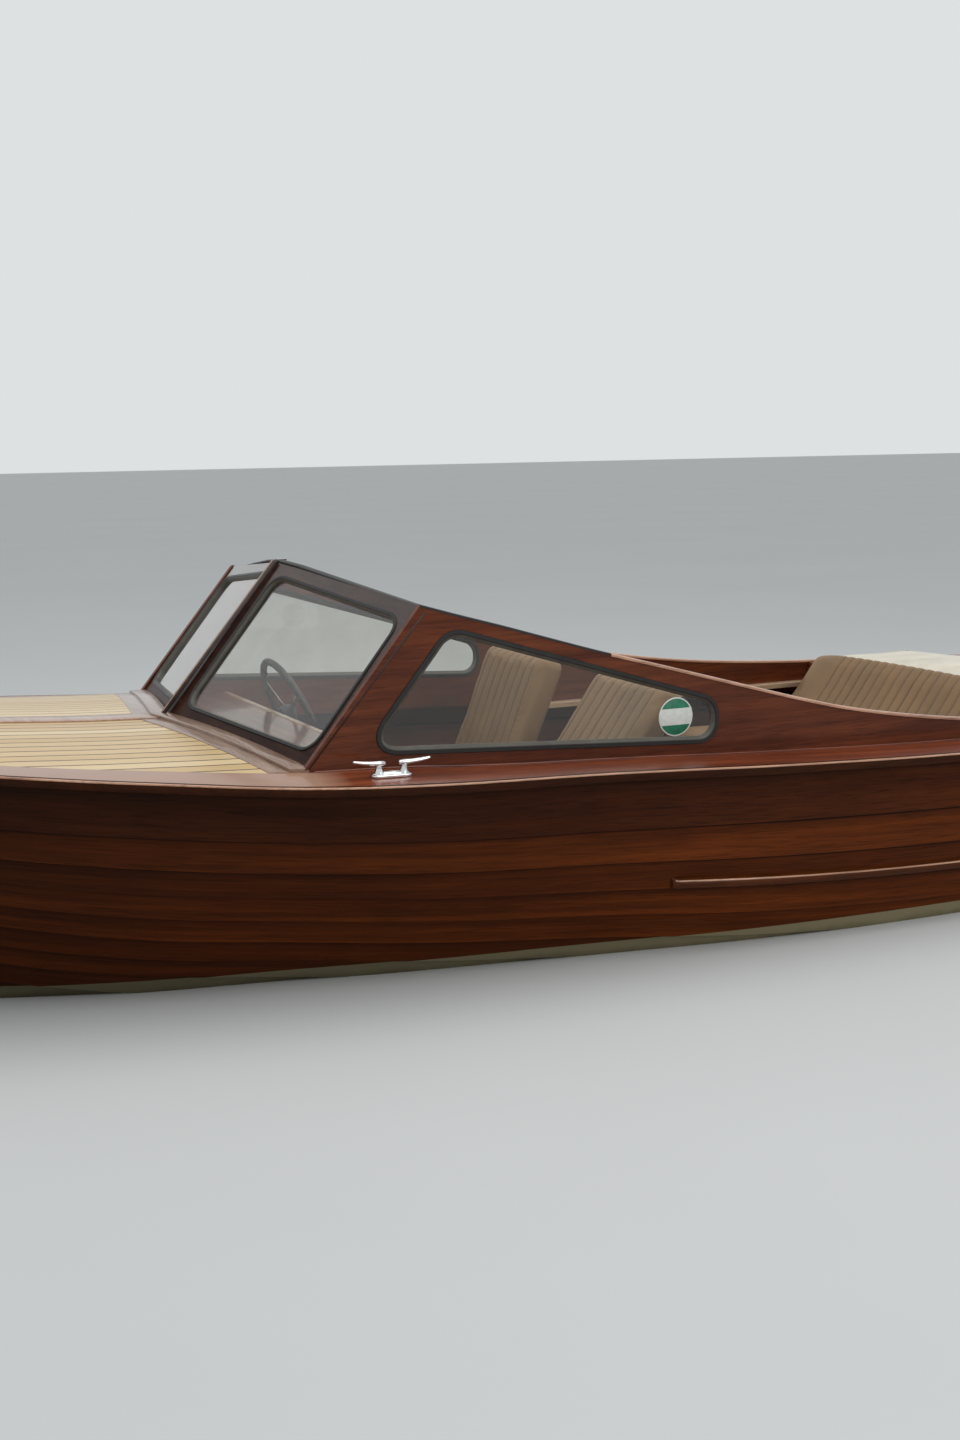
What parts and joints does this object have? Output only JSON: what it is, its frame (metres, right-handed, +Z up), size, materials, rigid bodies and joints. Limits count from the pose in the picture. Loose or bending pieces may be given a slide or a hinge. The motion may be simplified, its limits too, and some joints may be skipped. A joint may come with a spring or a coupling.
{
  "type": "wooden motorboat",
  "caption": "Open varnished clinker runabout with a raked V windscreen, side windows, front seats, aft bench, engine hatch, wheel steering, propeller and rudder.",
  "frame": {"origin": "amidships on the centreline at the height of the waterline", "axes": "+X forward to the bow, +Y to port, +Z up"},
  "size_m": [5.799, 2.136, 1.61],
  "materials": {
    "mahogany": "varnished, glossy",
    "mahogany_dark": "varnished, glossy",
    "mahogany_hull": "varnished, glossy",
    "deck_planking": "varnished pale planks with dark seams",
    "sole_wood": "oiled, satin",
    "tan_vinyl": "satin vinyl",
    "cream_vinyl": "satin vinyl",
    "glass": "clear, polished",
    "chrome": "polished",
    "steel": "turned",
    "bronze": "cast, satin",
    "engine_paint": "satin paint"
  },
  "bodies": {
    "boat": {"aft_bench_back": "tan_vinyl", "aft_bench_base": "mahogany", "aft_bench_cushion": "tan_vinyl", "aft_coaming": "mahogany", "aft_deck": "mahogany", "bow_eye": "chrome", "cleat_port": "chrome", "cleat_starboard": "chrome", "coaming_port": "mahogany", "coaming_starboard": "mahogany", "cockpit_sole": "sole_wood", "covering_board_port": "mahogany", "covering_board_starboard": "mahogany", "dashboard": "mahogany", "engine": "engine_paint", "engine_bed": "mahogany", "engine_bulkhead": "mahogany", "foredeck": "deck_planking", "front_bulkhead": "mahogany", "front_seat_port_back": "tan_vinyl", "front_seat_port_base": "mahogany", "front_seat_port_cushion": "tan_vinyl", "front_seat_starboard_back": "tan_vinyl", "front_seat_starboard_base": "mahogany", "front_seat_starboard_cushion": "tan_vinyl", "gunwale_port": "mahogany", "gunwale_starboard": "mahogany", "hatch_hinge_port": "chrome", "hatch_hinge_starboard": "chrome", "keel": "mahogany_dark", "king_plank": "mahogany", "planking_port": "mahogany_hull", "planking_starboard": "mahogany_hull", "rub_rail_port": "mahogany", "rub_rail_starboard": "mahogany", "screen_frame_port": "mahogany", "screen_frame_starboard": "mahogany", "screen_glass_port": "glass", "screen_glass_starboard": "glass", "screen_post": "mahogany", "side_glass_port": "glass", "side_glass_starboard": "glass", "steering_column": "chrome", "stem": "mahogany_dark", "transom": "mahogany"},
    "drive": {"propeller": "bronze", "propeller_shaft": "steel"},
    "rudder": {"rudder": "bronze"},
    "helm": {"steering_wheel": "chrome"},
    "hatch": {"hatch_lid": "mahogany", "hatch_pad": "cream_vinyl"}
  },
  "joints": [
    {"name": "propeller_spin", "type": "hinge", "parent": "boat", "child": "drive", "pos_m": [-2.395, 0, -0.29], "axis": [1, 0, 0], "continuous": true},
    {"name": "rudder_turn", "type": "hinge", "parent": "boat", "child": "rudder", "pos_m": [-2.62, 0, -0.28], "axis": [0, 0, 1], "range_deg": [-36, 36]},
    {"name": "wheel_turn", "type": "hinge", "parent": "boat", "child": "helm", "pos_m": [0.56, -0.35, 0.61], "axis": [0.9205, 0, -0.3907], "range_deg": [-540, 540]},
    {"name": "hatch_hinge", "type": "hinge", "parent": "boat", "child": "hatch", "pos_m": [-2.416, 0, 0.572], "axis": [0, -1, 0], "range_deg": [0, 75]}
  ],
  "couplings": [
    {"joint": "wheel_turn", "follows": "rudder_turn", "ratio": 15}
  ]
}
